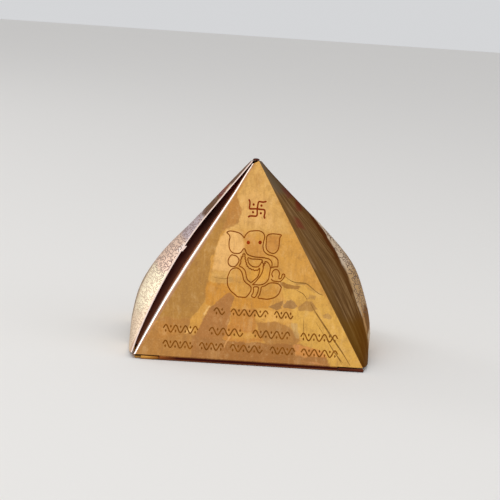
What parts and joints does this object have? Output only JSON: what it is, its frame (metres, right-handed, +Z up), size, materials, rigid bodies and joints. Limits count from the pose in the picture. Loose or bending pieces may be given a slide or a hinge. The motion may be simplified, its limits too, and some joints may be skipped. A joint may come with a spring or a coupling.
{
  "type": "vastu pyramid",
  "caption": "Small hollow pyramid of sheet metal with an engraved front panel hinged at its foot, bowed side and rear panels, and a tray of small pyramids inside.",
  "frame": {"origin": "middle of the object's box at the level it rests on", "axes": "+Z up from the foot to the tip, -Y out of the engraved front panel, +X to the right as it is seen from the front"},
  "size_m": [0.0966, 0.0914, 0.0744],
  "materials": {
    "golden_face": "brushed, tarnished",
    "etched_panel": "engraved, coppery",
    "brass_sheet": "plain sheet",
    "copper": "plain copper sheet",
    "pin_steel": "plain wire"
  },
  "bodies": {
    "pyramid_body": {"left_panel": "etched_panel", "right_panel": "etched_panel", "rear_panel": "etched_panel", "tip_cap": "copper", "rear_left_seam_strip": "copper", "rear_right_seam_strip": "copper", "base_tray": "brass_sheet", "hinge_pin": "pin_steel", "left_hinge_lug": "brass_sheet", "right_hinge_lug": "brass_sheet", "pyramid_plate": "copper", "small_pyramid_front_centre": "copper", "small_pyramid_front_left": "copper", "small_pyramid_front_right": "copper", "small_pyramid_middle_centre": "copper", "small_pyramid_middle_left": "copper", "small_pyramid_middle_right": "copper", "small_pyramid_rear_centre": "copper", "small_pyramid_rear_left": "copper", "small_pyramid_rear_right": "copper"},
    "front_door": {"front_panel": "golden_face"}
  },
  "joints": [
    {"name": "front_panel_hinge", "type": "hinge", "parent": "pyramid_body", "child": "front_door", "pos_m": [0, -0.04503, 0.00075], "axis": [1, 0, 0], "range_deg": [0, 115]}
  ]
}
